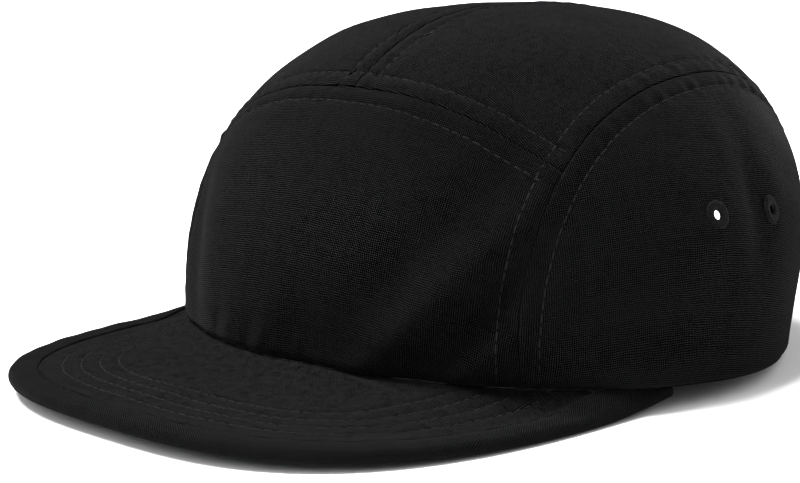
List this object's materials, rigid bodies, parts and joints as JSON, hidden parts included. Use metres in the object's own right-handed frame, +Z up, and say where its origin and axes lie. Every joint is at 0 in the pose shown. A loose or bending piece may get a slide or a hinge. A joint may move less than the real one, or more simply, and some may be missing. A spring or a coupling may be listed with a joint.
{
  "type": "five panel cap",
  "caption": "Soft cloth cap with a hollow crown sewn from panels, a flat bound peak, sewn vent eyelets and a strap across an arched opening at the back.",
  "frame": {"origin": "on the surface that the cap rests on, under the middle of the whole cap's box", "axes": "+Z up, -Y the way the wearer looks and the peak points, +X to the wearer's left"},
  "size_m": [0.1889, 0.2474, 0.1017],
  "materials": {
    "canvas": "black cotton canvas, plain weave, matt",
    "peak_canvas": "black cotton canvas over a stiff board, stitched in rows",
    "binding_canvas": "black cotton canvas strip, folded round the edge",
    "eyelet_thread": "black sewing thread, satin stitch",
    "strap_webbing": "black ribbed webbing",
    "clasp_plastic": "black moulded plastic, matt"
  },
  "bodies": {
    "root": {"front_panel": "canvas", "top_panel_left": "canvas", "top_panel_right": "canvas", "side_panel_left": "canvas", "side_panel_right": "canvas", "peak": "peak_canvas", "peak_binding": "binding_canvas", "eyelet_left_front": "eyelet_thread", "eyelet_left_back": "eyelet_thread", "eyelet_right_front": "eyelet_thread", "eyelet_right_back": "eyelet_thread", "closure_strap": "strap_webbing", "closure_clasp": "clasp_plastic"}
  },
  "joints": []
}
